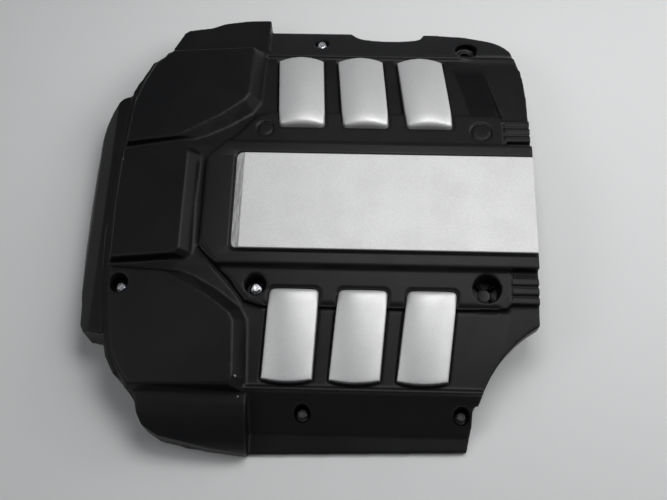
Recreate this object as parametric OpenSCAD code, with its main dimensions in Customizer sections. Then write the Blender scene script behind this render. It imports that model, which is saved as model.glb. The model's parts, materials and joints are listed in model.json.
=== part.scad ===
// Engine cover: one black moulding that carries a wide plate and six trim caps, held down by
// five screws in rubber grommets. X runs along the plate, Y across it, Z up from the rim.
// The origin is at the middle of the rim's plane.

/* [Cover] */
// Overall length of the cover along X
cover_l = 568; // [548:2:600]
// Overall width of the cover along Y
cover_w = 606; // [600:1:630]
// Height of the plateau above the rim
plateau_h = 82; // [76:1:96]
// Wall of the moulding
wall = 3; // [2.4:0.1:3.4]
// Height of the far flange's outer edge above the rim
flange_h = 32; // [28:1:38]
// Length of the concave cut in the far flange
cutout_l = 101; // [80:1:120]
// Depth of the concave cut in the far flange
cutout_d = 17; // [8:1:22]
// Radius of the hollowed near right corner
hollow_r = 166; // [150:1:180]
// Radius of the far right corner
corner_r = 46; // [36:1:50]
// Width of the sloping strip along the left edge
strip_w = 34; // [26:1:40]
// Length of that strip along Y
strip_l = 350; // [320:2:360]

/* [Deck] */
// Width of the plateau along Y
plateau_w = 168; // [150:1:172]
// Step from the plateau down to each shelf
plateau_step = 7; // [4:0.5:8]
// Distance from the middle of the cover to each shelf's outer edge
shelf_y = 131; // [126:1:136]
// Fall of each shelf towards its outer edge
shelf_fall = 4; // [2:0.5:5]
// Length of the raised deck, from its left end to the right edge
deck_l = 412; // [400:1:420]
// Length of the ribbed stretch between the shelves and the right edge
ribbed_l = 34; // [26:1:40]
// Width of each raised rib there
rib_w = 9; // [6:0.5:10]
// Pitch of those ribs
rib_pitch = 12; // [11:0.5:13]
// Width of the skirt and of the far flange, beyond the cap fields
skirt_w = 74; // [68:1:80]
// Height of the low ridge along each cap field's outer edge
ridge_h = 2.5; // [1:0.5:4]

/* [Domes] */
// Height of the domes' highest edge above the rim
dome_h = 87; // [82:1:98]
// Length of the domes along X
dome_l = 106; // [100:1:112]
// Width of the middle dome along Y
dome_mid_w = 154; // [146:1:158]
// Width of the wide bevel along the domes' right side
bevel_w = 16; // [10:1:20]
// Height of the two end blocks where they meet the domes
block_h = 54; // [46:1:60]
// Length of the end blocks along X
block_l = 134; // [120:1:140]

/* [Plate] */
// Distance from the raised deck's left end to the plate
plate_gap = 38; // [32:1:60]
// Width of the plate along Y
plate_w = 131; // [120:1:140]
// Thickness of the plate
plate_t = 4; // [3:0.5:6]
// Width of the sloping strip at the plate's left end
plate_ramp = 10; // [6:0.5:14]
// Radius of the plate's left corners
plate_r = 6; // [3:0.5:10]
// Inset of the plate's right end from the cover's right edge
plate_inset = 1; // [0.5:0.5:3]

/* [Trim caps] */
// Width of each cap
cap_w = 60; // [52:1:62]
// Pitch of the caps at their inner ends
cap_pitch = 83.1; // [80:0.1:86]
// Sideways lean of a cap's outer end, as a share of its distance from the first cap's line
cap_lean = 0.04; // [0:0.01:0.06]
// Sideways lean that all caps share
cap_skew = 5.5; // [2:0.5:8]
// Distance from the middle of the cover to the caps' inner ends
cap_in_y = 112; // [108:1:116]
// Gap between a cap's rounded end and the cap field's outer edge
cap_out_gap = 4; // [2:0.5:8]
// How far a cap's outer end bows out
cap_bow = 4; // [2:0.5:6]
// Height of a cap's crown above its seat at the inner end
cap_rise = 15; // [12:0.5:20]
// Fall of a cap's crown from its inner end to its outer end
cap_fall = 15; // [12:0.5:18]
// Radius of a cap's crown across its width
cap_crown_r = 84; // [76:1:120]
// Radius of a cap's crown along its length
cap_length_r = 700; // [500:10:1200]
// Wall of a cap
cap_t = 2.2; // [1.6:0.1:3]
// Radius of a cap's inner corners
cap_r = 6; // [3:0.5:9]
// Depth of the recess that seats each cap
seat_d = 1; // [0.6:0.1:1.6]
// Gap between a cap and its recess
seat_gap = 0.5; // [0.3:0.1:0.8]

/* [Fixings] */
// Radius of the screws' shanks
screw_r = 3; // [2.5:0.5:4]
// Width across the flats of the screws' heads
screw_af = 10; // [8:1:13]
// Height of the screws' heads above their flanges
screw_head_h = 5.5; // [4:0.5:7]
// Radius of the flanges under the screws' heads
screw_flange_r = 7.2; // [6.5:0.1:8]
// Free length of the long screws below their grommets
long_reach = 18; // [12:1:24]
// Free length of the short screws below their grommets
short_reach = 10; // [6:1:11]
// Radius of the bore in each pocket's floor
seat_bore_r = 7; // [6.5:0.1:7.6]
// Radius of the grommets' flanges
grommet_r = 8.4; // [7.9:0.1:9]
// Thickness of each grommet flange
grommet_t = 3; // [2:0.5:4]
// Radial gap between screw, sleeve, grommet and bore
fix_gap = 0.25; // [0.2:0.05:0.3]
// Wall of the steel sleeves
sleeve_t = 1.2; // [0.8:0.1:1.4]
// Thickness of the sleeves' collars
collar_t = 1; // [0.8:0.1:2]
// Radius of the pocket in the near left dome
pocket_left_r = 11.5; // [10:0.5:13]
// Radius of the pocket in the near shelf
pocket_shelf_r = 13; // [10:0.5:13.5]
// Radius of the pockets in the sloping sides
pocket_side_r = 9.5; // [9.2:0.1:10]
// Radius of the open socket at the near shelf's right end
socket_right_r = 17; // [14:0.5:18]
// Radius of the open socket in the far flange
socket_far_r = 15; // [12:0.5:16]
// Depth of the deep pockets and of the right socket
pocket_d = 26; // [20:1:28]
// Radius of the studs under the plate and the caps
stud_r = 1.7; // [1.4:0.1:1.8]
// Radius of the push-on nuts
nut_r = 6; // [5:0.5:7]
// Thickness of the push-on nuts
nut_t = 1.2; // [0.8:0.1:2]
// Gap round each stud in the moulding and in its nut
stud_gap = 0.2; // [0.15:0.05:0.3]

/* [Hidden] */

// Edges of the cover
right_x = cover_l / 2;
left_x = -cover_l / 2;
end_y = cover_w / 2;
deck_x = right_x - deck_l;
shelf_end_x = right_x - ribbed_l;
seam_x = left_x + strip_w;
dome_left_x = seam_x + 7;
dome_right_x = dome_left_x + dome_l;
block_right_x = left_x + 222;
block_left_x = block_right_x - block_l;
skirt_right_x = right_x - 80;
cut_right_x = right_x - 132;
cut_left_x = cut_right_x - cutout_l;
lip_y = end_y - 3;
flange_y = end_y - 15;
field_y = end_y - skirt_w;

// Levels above the rim
plateau_z = plateau_h;
plateau_y = plateau_w / 2;
shelf_z = plateau_z - plateau_step;
floor_mid_z = plateau_z - 10;
floor_step_z = plateau_z - 12;
field_in_z = plateau_z - 17;
field_out_z = plateau_z - 26;
seam_z = plateau_z - 24;
step_run = 3;
deep = 20;
high = 40;
sky = plateau_z + high;

// Height of the low deck against the distance from the middle, and against X at the left end
floor_line = [[0, floor_mid_z], [plateau_y, floor_step_z], [shelf_y, field_in_z], [field_y, field_out_z]];
ramp_line = [[seam_x, seam_z], [dome_right_x, floor_mid_z + 1]];
function floor_z(x, y) = min(lookup(x, ramp_line), lookup(abs(y), floor_line));

// Points of an arc from angle a to angle b
function arc(cx, cy, r, a, b, n) =
    [for (i = [0:n]) [cx + r * cos(a + (b - a) * i / n), cy + r * sin(a + (b - a) * i / n)]];

// Inward unit normal of the edge from p to q in a counter-clockwise outline
function inward(p, q) = [p.y - q.y, q.x - p.x] / norm(q - p);

// Corner q after its two edges move in by d and e
function moved_corner(p, q, r, d, e) =
    let (m = inward(p, q), n = inward(q, r), turn = m.x * n.y - m.y * n.x)
    abs(turn) < 0.02 ? q + m * d
        : [(n.y * (m * q + d) - m.y * (n * q + e)) / turn, (m.x * (n * q + e) - n.x * (m * q + d)) / turn];

// Outline moved in by d, which is one distance or one for each edge
function inset(pts, d) =
    let (n = len(pts))
    [for (i = [0:n - 1]) moved_corner(pts[(i + n - 1) % n], pts[i], pts[(i + 1) % n],
        is_list(d) ? d[(i + n - 1) % n] : d, is_list(d) ? d[i] : d)];

function mirrored_y(pts) = [for (i = [len(pts) - 1:-1:0]) [pts[i].x, -pts[i].y]];

// Solid between rings of equally many points
module loft(rings) {
    n = len(rings[0]);
    last = len(rings) - 1;
    sides = [for (k = [0:last - 1], i = [0:n - 1]) let (j = (i + 1) % n)
        each [[k * n + i, (k + 1) * n + i, (k + 1) * n + j], [k * n + i, (k + 1) * n + j, k * n + j]]];
    polyhedron([for (ring = rings) each ring],
        concat([[for (i = [0:n - 1]) i]], [[for (i = [n - 1:-1:0]) last * n + i]], sides));
}

function ring(pts, z) = [for (p = pts) [p.x, p.y, z]];

module prism(pts, low, top) {
    translate([0, 0, low]) linear_extrude(top - low) polygon(pts);
}

// A section given as [y, z] points, run along X
module along_x(pts, from, to) {
    translate([from, 0, 0]) rotate([90, 0, 90]) linear_extrude(to - from) polygon(pts);
}

// A section given as [x, z] points, run along Y
module along_y(pts, from, to) {
    translate([0, to, 0]) rotate([90, 0, 0]) linear_extrude(to - from) polygon(pts);
}

// Everything above the low deck, lowered by d
module above_floor(d) {
    side = [for (p = floor_line) [p.x, p.y - d]];
    run_out = [field_y + high, lookup(field_y, floor_line) - d];
    along_x(concat([[-run_out.x, sky]], [[-run_out.x, run_out.y]],
        [for (i = [3:-1:0]) [-side[i].x, side[i].y]], [for (i = [1:3]) side[i]],
        [[run_out.x, run_out.y]], [[run_out.x, sky]]), left_x, right_x + high);
}

// Bowed edges of the left strip
seam_arc_r = 1300;
strip_arc_r = 1000;
function seam_at(y) = seam_x + seam_arc_r - sqrt(pow(seam_arc_r, 2) - y * y);
function strip_at(y) = left_x + strip_arc_r - sqrt(pow(strip_arc_r, 2) - y * y);
seam_steps = [49 - field_y, 49 - field_y + 60, -60, 0, 60, field_y - 109, field_y - 59];
far_corner = [[seam_x + 21, field_y - 39], [seam_x + 32, field_y - 13], [block_left_x + 2, field_y + 7]];
near_corner = [[seam_x + 17, field_y - 31], [seam_x + 28, field_y - 11], [seam_x + 43, field_y + 2]];

// Outline of the main body, counter-clockwise from the near skirt's right end
hollow_c = [right_x + 85, 10 - end_y];
hollow_a = 163;
hollow_b = 120.8;
corner_fall = 12;

// Shape of the concave cut, as shares of its length and depth
cut_steps = [[0.06, 0.66], [0.15, 0.86], [0.33, 0.98], [0.55, 1], [0.72, 0.92], [0.86, 0.72],
    [0.93, 0.48]];
body_outline = concat(
    [[skirt_right_x - 5, -lip_y + 8], [skirt_right_x, -lip_y + 34], [skirt_right_x, 57 - end_y]],
    arc(hollow_c.x, hollow_c.y, hollow_r, hollow_a, hollow_b, 7),
    [[right_x, field_y - 65], [right_x - 2, field_y - 37], [right_x - 6.5, field_y - 6]],
    arc(right_x - 11 - corner_r, flange_y - corner_fall - corner_r, corner_r, 15, 75, 5),
    [[right_x - 75, flange_y - 5], [cut_right_x + 16, flange_y - 1], [cut_right_x, flange_y]],
    [for (c = cut_steps) [cut_right_x - c[0] * cutout_l, flange_y - c[1] * cutout_d]],
    [[cut_left_x, flange_y], [block_right_x - 2, flange_y], [block_left_x + 24, flange_y - 5]],
    [[block_left_x + 6, end_y - 57]],
    [for (i = [2:-1:0]) far_corner[i]],
    [for (i = [6:-1:0]) [seam_at(seam_steps[i]), seam_steps[i]]],
    [for (p = near_corner) [p.x, -p.y]],
    [[block_left_x + 8, 43 - end_y], [block_left_x + 16, 29 - end_y], [block_left_x + 34, 17 - end_y],
        [block_left_x + 61, 9 - end_y], [block_right_x - 46, 6 - end_y], [block_right_x - 2, -lip_y]]);

// Cross section of the main body from its near lip to its far edge
lip_z = 6;
skirt_foot_y = lip_y - 28;
skirt_foot_z = 14;
ridge_w = 4;
skirt_top_y = field_y + ridge_w + 2;
function body_ridge(s) = [[s * skirt_top_y, field_out_z - 2],
    [s * (skirt_top_y - 1), field_out_z + ridge_h],
    [s * (field_y + 1), field_out_z + ridge_h], [s * field_y, field_out_z]];
function body_section(ridged) = let (near = body_ridge(-1), far = body_ridge(1)) concat(
    [[-lip_y, 0], [-lip_y, lip_z], [-skirt_foot_y - 3, skirt_foot_z - 4], [-skirt_foot_y, skirt_foot_z]],
    ridged ? near : [near[0]],
    [[-shelf_y, field_in_z], [-plateau_y, floor_step_z], [0, floor_mid_z], [plateau_y, floor_step_z]],
    [[shelf_y, field_in_z]],
    ridged ? [for (i = [3:-1:0]) far[i]] : [far[0]],
    [[flange_y - 2, flange_h], [flange_y + 1, flange_h - 3], [flange_y + 1, 0]]);

// A section with its foot moved from the rim to below it
function dipped(pts) = [for (p = pts) [p.x, p.y == 0 ? -deep : p.y]];
function lowered(pts) = inset([for (i = [len(pts) - 1:-1:0]) dipped(pts)[i]], wall);

// Main body; t is 0 for the outside and 1 for the hollow
module body_form(t) {
    section = t == 0 ? body_section(true) : lowered(body_section(false));
    ramp = [[left_x - high, -deep], [left_x - high, seam_z - 4 - t * wall],
        [seam_x, seam_z - t * wall], [dome_right_x, floor_mid_z + 1 - t * wall],
        [dome_right_x + 1, sky], [right_x + high, sky], [right_x + high, -deep]];
    intersection() {
        prism(inset(body_outline, t * wall), -t * deep, sky);
        along_x(section, left_x - high, right_x + high);
        along_y(ramp, -end_y, end_y);
    }
}

// Raised deck: the plateau and the shelves beside it
shelf_corner = 8;
deck_side = [[deck_x + 76, shelf_y], [deck_x + 60, shelf_y - 5], [deck_x + 39, 99], [deck_x + 7, 69],
    [deck_x, 60]];
deck_outline = concat(
    [for (p = [for (i = [4:-1:0]) deck_side[i]]) [p.x, -p.y]],
    [[shelf_end_x - shelf_corner, -shelf_y], [shelf_end_x, -shelf_y + shelf_corner]],
    [[shelf_end_x, shelf_y - shelf_corner], [shelf_end_x - shelf_corner, shelf_y]],
    deck_side);
deck_draft = 4.4;
deck_base_z = floor_mid_z - 14;
module deck_form(t) {
    drop = t * wall;
    section = [[-end_y, 0], [-end_y, shelf_z - shelf_fall], [-shelf_y, shelf_z - shelf_fall],
        [-plateau_y - step_run, shelf_z], [-plateau_y, plateau_z], [plateau_y, plateau_z],
        [plateau_y + step_run, shelf_z], [shelf_y, shelf_z - shelf_fall],
        [end_y, shelf_z - shelf_fall], [end_y, 0]];
    intersection() {
        union() {
            loft([ring(inset(deck_outline, drop - deck_draft), t == 0 ? wall * 2 : -deep),
                ring(inset(deck_outline, drop - deck_draft), deck_base_z),
                ring(inset(deck_outline, drop + deck_draft), sky)]);
            translate([pocket_shelf.x, pocket_shelf.y, t == 0 ? wall * 2 : -deep])
                cylinder(r = pocket_shelf_r + wall + 1 - drop, h = sky, $fn = 48);
            translate([shelf_end_x - high, -plateau_y + drop, t == 0 ? wall * 2 : -deep])
                cube([ribbed_l + high - drop, plateau_w - 2 * drop, sky]);
        }
        along_x(t == 0 ? section : lowered(section), left_x, right_x);
    }
}

// The three short ribs beside each shelf's right end
rib_first_y = 98;
module end_ribs() {
    for (s = [-1, 1], i = [0:2]) {
        y = s * (rib_first_y + i * rib_pitch);
        translate([shelf_end_x - wall, y - rib_w / 2, floor_z(0, shelf_y) - wall])
            cube([ribbed_l + wall, rib_w, shelf_z - 1.5 - i - field_in_z + wall]);
    }
}

// Outer dome on the far side; the near one is its mirror image with its own left corner
mid_slope = 0.15;
side_slope_x = 0.1;
side_slope_y = 0.06;
side_right_x = dome_right_x + 75;
corner_gap = 2.5;
function dome_z(x, y) = dome_h - side_slope_x * (side_right_x - x) - side_slope_y * (y - plateau_y);
function side_dome_outline(corner) = concat(
    [[dome_left_x + 1, plateau_y], [dome_right_x - 2, plateau_y + 10], [dome_right_x + 31, plateau_y + 28],
        [dome_right_x + 63, shelf_y + 5], [dome_right_x + 72, shelf_y + 21], [side_right_x, field_y - 4],
        [side_right_x - 4, field_y + 8], [corner[2].x + corner_gap, field_y + 8]],
    [for (i = [1, 0]) [corner[i].x + corner_gap, corner[i].y - corner_gap]],
    [[dome_left_x + 5, field_y - 79]]);
side_dome_bevels = [3, bevel_w, bevel_w, bevel_w, bevel_w, bevel_w, 5, 5, 5, 5, 5];
module side_dome(corner, t) {
    outline = side_dome_outline(corner);
    base = inset(outline, t * wall);
    top = inset(outline, [for (b = side_dome_bevels) b + t * wall / 2]);
    loft([ring(base, t == 0 ? wall * 2 : -deep),
        [for (p = base) [p.x, p.y, floor_z(p.x, p.y) - 1 - t * wall]],
        [for (p = top) [p.x, p.y, dome_z(p.x, p.y) - t * wall]]]);
}

// Middle dome
mid_corner = 8;
module middle_dome(t) {
    half = dome_mid_w / 2;
    outline = [[dome_left_x, -half - 2], [dome_right_x - mid_corner, -half + 1],
        [dome_right_x, -half + mid_corner], [dome_right_x, half - mid_corner],
        [dome_right_x - mid_corner, half - 1], [dome_left_x, half + 2], [dome_left_x - 2, 0]];
    base = inset(outline, t * wall);
    top = inset(outline, [for (b = [3, bevel_w - 4, bevel_w, bevel_w - 4, 3, 5, 5]) b + t * wall / 2]);
    loft([ring(base, t == 0 ? wall * 2 : -deep),
        [for (p = base) [p.x, p.y, floor_z(p.x, p.y) - 1 - t * wall]],
        [for (p = top) [p.x, p.y, dome_h - mid_slope * (dome_right_x - p.x) - t * wall]]]);
}

// Sloping strip along the left edge
strip_end_y = strip_l / 2;
strip_steps = [strip_end_y - 70, 60, 0, -60, 57 - strip_end_y];
strip_outline = concat(
    [[left_x + 30, strip_end_y - 15], [left_x + 18, strip_end_y - 31], [left_x + 10, strip_end_y - 49]],
    [for (y = strip_steps) [strip_at(y), y]],
    [[left_x + 9, 47 - strip_end_y], [left_x + 11, 20 - strip_end_y], [left_x + 17, 10 - strip_end_y]],
    [[seam_x + 30, 2 - strip_end_y], [seam_x + 30, strip_end_y - 4]]);
strip_foot_z = 22;
strip_section = [[left_x - 1, 0], [left_x - 1, strip_foot_z], [left_x + 7, strip_foot_z + 16],
    [seam_x - 7, seam_z - 3], [seam_x + 5, seam_z - 2], [seam_x + 40, seam_z - 2], [seam_x + 40, 0]];
module strip_form(t) {
    intersection() {
        prism(inset(strip_outline, t * wall), -t * deep, sky);
        along_y(t == 0 ? strip_section : lowered(strip_section), -end_y, end_y);
    }
}

// End blocks beyond the outer domes: one rolls over to the rim, the other is a flat slope
block_in_y = end_y - 77;
near_block_outline = [[block_left_x - 1, -block_in_y], [block_left_x, 65 - end_y],
    [block_left_x + 5, 41 - end_y], [block_left_x + 12, 27 - end_y], [block_left_x + 30, 16 - end_y],
    [block_left_x + 61, 10 - end_y], [block_right_x - 46, 5 - end_y], [block_right_x, -end_y],
    [block_right_x, -block_in_y]];
far_block_outline = [[block_right_x, block_in_y], [block_right_x, end_y - 2], [block_right_x - 4, end_y],
    [block_right_x - 61, end_y - 10], [block_left_x + 50, end_y - 20], [block_left_x + 21, end_y - 25],
    [block_left_x + 15, end_y - 30], [block_left_x + 3, end_y - 60], [block_left_x + 2, block_in_y]];
roll_y = end_y - 65;
roll_foot_z = 8;
roll_steps = 8;
near_block_section = concat([[-end_y - 1, 0]],
    [for (i = [roll_steps:-1:0]) let (a = 90 * i / roll_steps)
        [-roll_y - (end_y + 1 - roll_y) * sin(a), roll_foot_z + (block_h - roll_foot_z) * cos(a)]],
    [[-block_in_y + 10, block_h], [-block_in_y + 10, 0]]);
far_block_section = [[block_in_y - 10, 0], [block_in_y - 10, block_h], [roll_y, block_h],
    [end_y - 6, flange_h + 12], [end_y + 1, flange_h + 5], [end_y + 1, 0]];
module block_form(outline, section, t) {
    intersection() {
        prism(inset(outline, t * wall), -t * deep, sky);
        along_x(t == 0 ? section : lowered(section), left_x, right_x);
    }
}

// Whole form; t is 0 for the outside and 1 for the hollow
module whole_form(t) {
    body_form(t);
    deck_form(t);
    side_dome(far_corner, t);
    mirror([0, 1, 0]) side_dome(near_corner, t);
    middle_dome(t);
    strip_form(t);
    block_form(near_block_outline, near_block_section, t);
    block_form(far_block_outline, far_block_section, t);
}

// Fixing points: place, pocket radius and height of the pocket's floor
pocket_left = [seam_x + 25, -108];
pocket_shelf = [deck_x + 70, -108];
pocket_far = [deck_x + 138, end_y - 41];
pocket_skirt_mid = [deck_x + 131, 48 - end_y];
pocket_skirt_right = [skirt_right_x - 13, 49 - end_y];
socket_right = [right_x - 63, -108];
socket_far = [right_x - 75, end_y - 51];
side_floor_z = 18;
far_floor_z = 29;
left_floor_z = dome_z(pocket_left.x, -pocket_left.y) - pocket_d;
shelf_floor_z = shelf_z - pocket_d;
pockets = [
    [pocket_left, pocket_left_r, left_floor_z],
    [pocket_shelf, pocket_shelf_r, shelf_floor_z],
    [pocket_far, pocket_side_r, far_floor_z],
    [pocket_skirt_mid, pocket_side_r, side_floor_z],
    [pocket_skirt_right, pocket_side_r, side_floor_z],
    [socket_right, socket_right_r, shelf_floor_z],
    [socket_far, socket_far_r, far_floor_z]];
module at(p) { translate([p[0].x, p[0].y, p[2]]) children(); }

module pocket_walls() {
    for (p = pockets) at(p) translate([0, 0, -wall]) cylinder(r = p[1] + wall, h = sky, $fn = 64);
}

module pocket_bores() {
    for (p = pockets) at(p) {
        cylinder(r = p[1], h = sky, $fn = 64);
        translate([0, 0, -wall - 1]) cylinder(r = seat_bore_r, h = wall + 2, $fn = 48);
    }
}

// Four webs on the floor of the right socket
web_h = 6;
web_t = 2;
module socket_webs() {
    reach = socket_right_r - seat_bore_r - 1;
    for (a = [45:90:315]) at(pockets[5]) rotate([0, 0, a])
        translate([seat_bore_r + 1, -web_t / 2, -1]) cube([reach + 1, web_t, web_h + 1]);
}

// Shallow ring grooves that match the pockets on the other side
groove_w = 1.6;
groove_d = 1.2;
module ring_groove(x, y, r, z) {
    translate([x, y, z - groove_d]) difference() {
        cylinder(r = r, h = high, $fn = 48);
        translate([0, 0, -1]) cylinder(r = r - groove_w, h = high + 2, $fn = 48);
    }
}
module ring_grooves() {
    disc_z = shelf_z - shelf_fall * (108 - plateau_y) / (shelf_y - plateau_y);
    ring_groove(socket_right.x, 108, 13.5, disc_z);
    ring_groove(pocket_shelf.x, 108, 11, disc_z);
}

// Seats: each cap's outline, counter-clockwise, from its inner end; s is 1 for the far row
cap_first_x = right_x - 294.4;
cap_len = field_y - cap_in_y - cap_bow - cap_out_gap;
corner_steps = 4;
bow_steps = 6;
bow_r = (pow(cap_w / 2, 2) + pow(cap_bow, 2)) / (2 * cap_bow);
bow_half_a = asin(cap_w / 2 / bow_r);
cap_out_y = cap_in_y + cap_len;
function lean(i) = -(cap_skew + cap_lean * i * cap_pitch) / cap_len;
function leaned(pts, i) = let (x = cap_first_x + i * cap_pitch)
    [for (p = pts) [x + p.x + lean(i) * (p.y - cap_in_y), p.y]];
function far_cap_outline(i) = leaned(concat(
    arc(-cap_w / 2 + cap_r, cap_in_y + cap_r, cap_r, 180, 270, corner_steps),
    arc(cap_w / 2 - cap_r, cap_in_y + cap_r, cap_r, 270, 360, corner_steps),
    arc(0, cap_out_y + cap_bow - bow_r, bow_r, 90 - bow_half_a, 90 + bow_half_a, bow_steps)), i);
function cap_outline(i, s) = s > 0 ? far_cap_outline(i) : mirrored_y(far_cap_outline(i));
module cap_seats(grow, d) {
    for (s = [-1, 1], i = [0:2]) intersection() {
        prism(inset(cap_outline(i, s), -grow), 0, sky);
        above_floor(d);
    }
}

// Sunken channels in the cap fields' right ends
channel_d = [4, 1.2];
channel_in_y = shelf_y + 2;
channel_out_y = field_y - 5;
channel_outline = [[right_x - 74, channel_in_y], [right_x - 34, channel_in_y], [right_x - 55, field_y - 19],
    [right_x - 62, field_y - 6], [right_x - 104, field_y - 5], [right_x - 93, field_y - 25]];
module channels(grow, drop) {
    for (s = [0, 1]) mirror([0, s, 0]) intersection() {
        prism(inset(channel_outline, -grow), 0, sky);
        along_x([[shelf_y - 6, lookup(shelf_y - 6, floor_line) - channel_d[s] - drop],
            [channel_out_y + 3, lookup(channel_out_y + 3, floor_line) + 0.3 - drop],
            [channel_out_y + 3, sky], [shelf_y - 6, sky]], 0, right_x);
    }
}

// Stiffening ribs under the deck
stiff_t = 2.4;
stiff_z = 50;
stiff_x = [0.5, 1.5, 2.5];
module stiffeners() {
    for (k = stiff_x) translate([cap_first_x + k * cap_pitch - 3, -field_y, stiff_z])
        cube([stiff_t, 2 * field_y, sky]);
    for (s = [-1, 1]) translate([seam_x, s * (plateau_y + 5) - stiff_t / 2, stiff_z])
        cube([cover_l - strip_w - ribbed_l, stiff_t, sky]);
}

// Openings in the hollowed corner's wall and in the right end wall, below their lips
arch_z = 36;
corner_arch_z = 42;
module end_arches() {
    translate([right_x - high, -shelf_y - 9, -deep])
        cube([2 * high, shelf_y + field_y - 20, arch_z + deep]);
    translate([skirt_right_x + 3, -field_y - 20, -deep])
        cube([3 * high, field_y - shelf_y + 33, corner_arch_z + deep]);
}

// Studs of the plate and the caps: places along X and Y
plate_right_x = right_x - plate_inset;
plate_left_x = deck_x + plate_gap;
plate_stud_x = [plate_left_x + 34, (plate_left_x + plate_right_x) / 2 - 2, plate_right_x - 29];
plate_stud_y = plate_w / 2 - 19.5;
cap_stud_y = [cap_in_y + 22, cap_in_y + cap_len - 21];
function plate_studs() = [for (x = plate_stud_x, s = [-1, 1]) [x, s * plate_stud_y]];
function cap_studs(i, s) = [for (y = cap_stud_y)
    [cap_first_x + i * cap_pitch + lean(i) * (y - cap_in_y), s * y]];
module stud_holes() {
    for (p = plate_studs()) translate([p.x, p.y, stiff_z])
        cylinder(r = stud_r + stud_gap, h = sky - stiff_z, $fn = 24);
    for (s = [-1, 1], i = [0:2], p = cap_studs(i, s)) translate([p.x, p.y, stiff_z - deep])
        cylinder(r = stud_r + stud_gap, h = sky - stiff_z, $fn = 24);
}

module cover_shell() color([0.07, 0.07, 0.075]) {
    difference() {
        union() {
            whole_form(0);
            end_ribs();
        }
        difference() {
            whole_form(1);
            stiffeners();
            pocket_walls();
            cap_seats(seat_gap + wall, seat_d + wall);
            channels(wall, wall);
        }
        end_arches();
        difference() {
            pocket_bores();
            socket_webs();
        }
        cap_seats(seat_gap, seat_d);
        channels(0, 0);
        ring_grooves();
        stud_holes();
    }
}

// Plate with its left end sloping down to the plateau
plate_top_z = plateau_z + plate_t;
stud_len = wall + 7;
module centre_plate() color([0.76, 0.77, 0.77]) {
    half = plate_w / 2;
    outline = concat([[plate_right_x, -half], [plate_right_x, half]],
        arc(plate_left_x + plate_r, half - plate_r, plate_r, 90, 180, 6),
        arc(plate_left_x + plate_r, -half + plate_r, plate_r, 180, 270, 6));
    intersection() {
        prism(outline, plateau_z, plate_top_z);
        along_y([[plate_left_x - 1, plateau_z], [plate_left_x, plateau_z + 1],
            [plate_left_x + plate_ramp, plate_top_z], [right_x, plate_top_z], [right_x, plateau_z]],
            -end_y, end_y);
    }
    for (p = plate_studs()) translate([p.x, p.y, plateau_z - stud_len])
        cylinder(r = stud_r, h = stud_len + plate_t / 2, $fn = 24);
}

// Crowned upper form of a cap of the far row, thinned by d
cap_tilt = atan(cap_fall / cap_len);
cap_mid_y = cap_in_y + cap_len / 2;
cap_seat_z = lookup(cap_in_y, floor_line) - seat_d;
cap_bulge = cap_length_r - sqrt(pow(cap_length_r, 2) - pow(cap_len / 2, 2));
cap_mid_z = cap_seat_z + cap_rise - cap_fall / 2 + cap_bulge;
cap_sweep = 16;

// Roll of a cap's inner end, thinned by d
cap_roll = 13;
cap_roll_steps = 7;
module cap_roll_form(d) {
    top = cap_seat_z + cap_rise + 4 - d;
    along_x(concat([[cap_in_y + d, cap_seat_z - high], [cap_in_y + d, cap_seat_z + 3]],
        [for (k = [1:cap_roll_steps]) let (a = 90 * k / cap_roll_steps)
            [cap_in_y + d + cap_roll * (1 - cos(a)), cap_seat_z + 3 + (top - cap_seat_z - 3) * sin(a)]],
        [[end_y, top], [end_y, cap_seat_z - high]]), left_x, right_x);
}
module cap_crown(i, d) {
    x = cap_first_x + i * cap_pitch + lean(i) * cap_len / 2;
    translate([x, cap_mid_y, cap_mid_z]) rotate([-cap_tilt, 0, atan(-lean(i))])
        translate([0, 0, -cap_length_r]) rotate([0, 90, 0]) rotate([0, 0, 180 - cap_sweep / 2])
        rotate_extrude(angle = cap_sweep, $fn = 360)
        translate([cap_length_r - cap_crown_r, 0]) circle(r = cap_crown_r - d, $fn = 180);
}

module trim_cap(i, s) color([0.8, 0.81, 0.81]) {
    mirror([0, s > 0 ? 0 : 1, 0]) {
        difference() {
            intersection() {
                prism(far_cap_outline(i), field_out_z - deep, sky);
                above_floor(seat_d);
                cap_crown(i, 0);
                cap_roll_form(0);
            }
            intersection() {
                prism(inset(far_cap_outline(i), cap_t), field_out_z - deep, sky);
                cap_crown(i, cap_t);
                cap_roll_form(cap_t);
            }
        }
        for (p = cap_studs(i, 1)) {
            seat = lookup(p.y, floor_line) - seat_d;
            crown = cap_mid_z - cap_t - (p.y - cap_mid_y) * cap_fall / cap_len;
            translate([p.x, p.y, seat - stud_len])
                cylinder(r = stud_r, h = crown - seat + stud_len, $fn = 24);
        }
    }
}

// Screw with its flange and hexagon head, seated on the sleeve's collar
sleeve_in_r = screw_r + fix_gap;
sleeve_out_r = sleeve_in_r + sleeve_t;
flange_t = 1.6;
neck_relief = 0.2;
head_seat = grommet_t + collar_t;
module screw(p, reach) {
    foot = -wall - grommet_t - reach;
    at(p) {
        translate([0, 0, foot]) cylinder(r = screw_r, h = reach, $fn = 36);
        translate([0, 0, foot + reach])
            cylinder(r = screw_r - neck_relief, h = head_seat - foot - reach, $fn = 36);
        translate([0, 0, head_seat]) cylinder(r = screw_flange_r, h = flange_t, $fn = 48);
        translate([0, 0, head_seat + flange_t - 0.2])
            cylinder(r = screw_af / sqrt(3), h = screw_head_h + 0.2, $fn = 6);
    }
}
module screws_long() color([0.82, 0.83, 0.85]) {
    for (k = [0, 1]) screw(pockets[k], long_reach);
}
module screws_short() color([0.82, 0.83, 0.85]) {
    for (k = [2, 3, 4]) screw(pockets[k], short_reach);
}

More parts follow.
